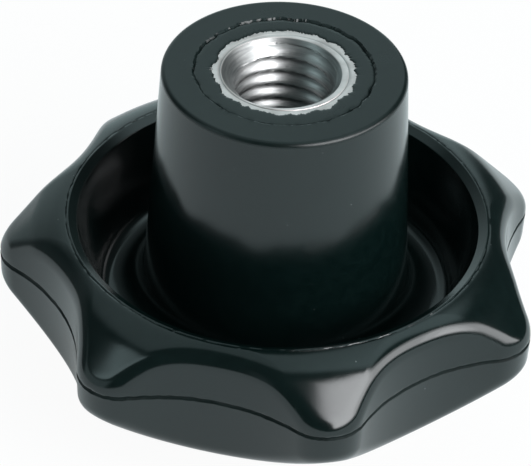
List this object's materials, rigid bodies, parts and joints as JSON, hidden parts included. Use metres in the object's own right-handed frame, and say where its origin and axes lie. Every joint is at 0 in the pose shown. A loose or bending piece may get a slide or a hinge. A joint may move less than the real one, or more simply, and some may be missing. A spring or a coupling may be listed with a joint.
{
  "type": "star knob",
  "caption": "Moulded star knob with rounded lobes, a domed grip face, a raised tapered hub in a round cavity, and a blind threaded metal bushing.",
  "frame": {"origin": "centre of the small flat in the middle of the domed grip face, on the hub's axis, where the knob rests", "axes": "+Z along the hub's axis and out of the threaded hole; +X and +Y across the grip, with one lobe 12.9 degrees to the +X side of -Y"},
  "size_m": [0.0575, 0.0587, 0.04],
  "materials": {
    "black_plastic": "glossy black thermoset with a faint cool tint; hub end face a little duller; fine mould marks, flash specks and dust",
    "bushing_steel": "bright, lightly turned metal"
  },
  "bodies": {
    "root": {"knob_body": "black_plastic", "threaded_insert": "bushing_steel"}
  },
  "joints": []
}
